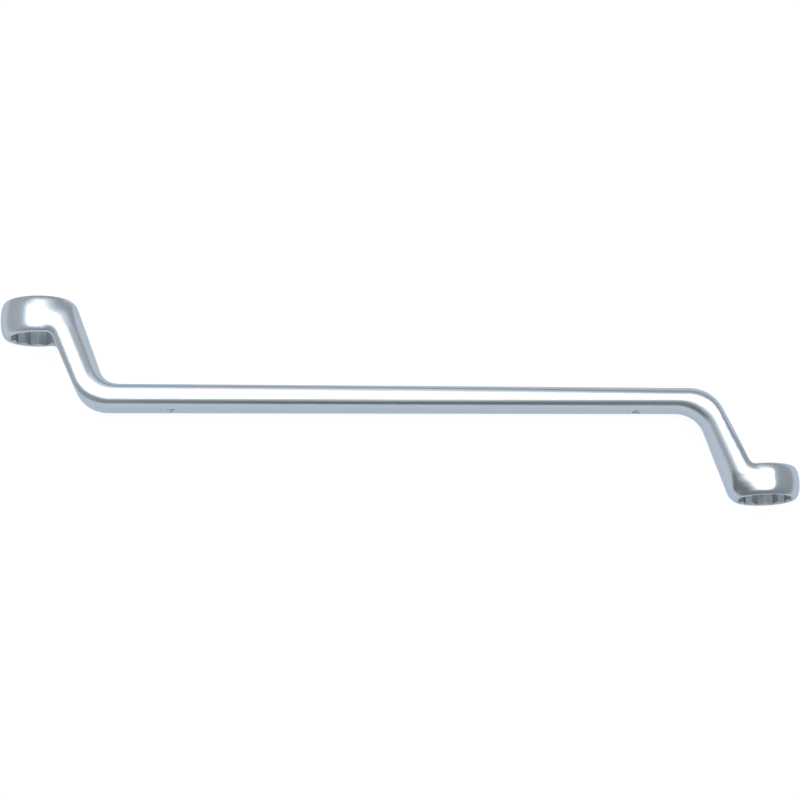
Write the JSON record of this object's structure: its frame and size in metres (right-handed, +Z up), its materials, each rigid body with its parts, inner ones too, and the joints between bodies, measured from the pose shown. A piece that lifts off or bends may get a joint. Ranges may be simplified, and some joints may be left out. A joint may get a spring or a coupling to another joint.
{
  "type": "ring spanner",
  "caption": "Double-ended ring spanner with deep cranked necks and twelve-point rings, in satin chrome-plated forged steel.",
  "frame": {"origin": "under the middle of the spanner's outline, on the surface that it lies on when it is on its side", "axes": "+X from the large ring towards the small ring, +Y along the axes of both rings, out of the large ring's free face, +Z up, square to the plane in which the necks are cranked"},
  "size_m": [0.267, 0.074, 0.0257],
  "materials": {
    "satin_chrome": "satin chrome plate on drop-forged alloy steel"
  },
  "bodies": {
    "root": {"spanner": "satin_chrome"}
  },
  "joints": []
}
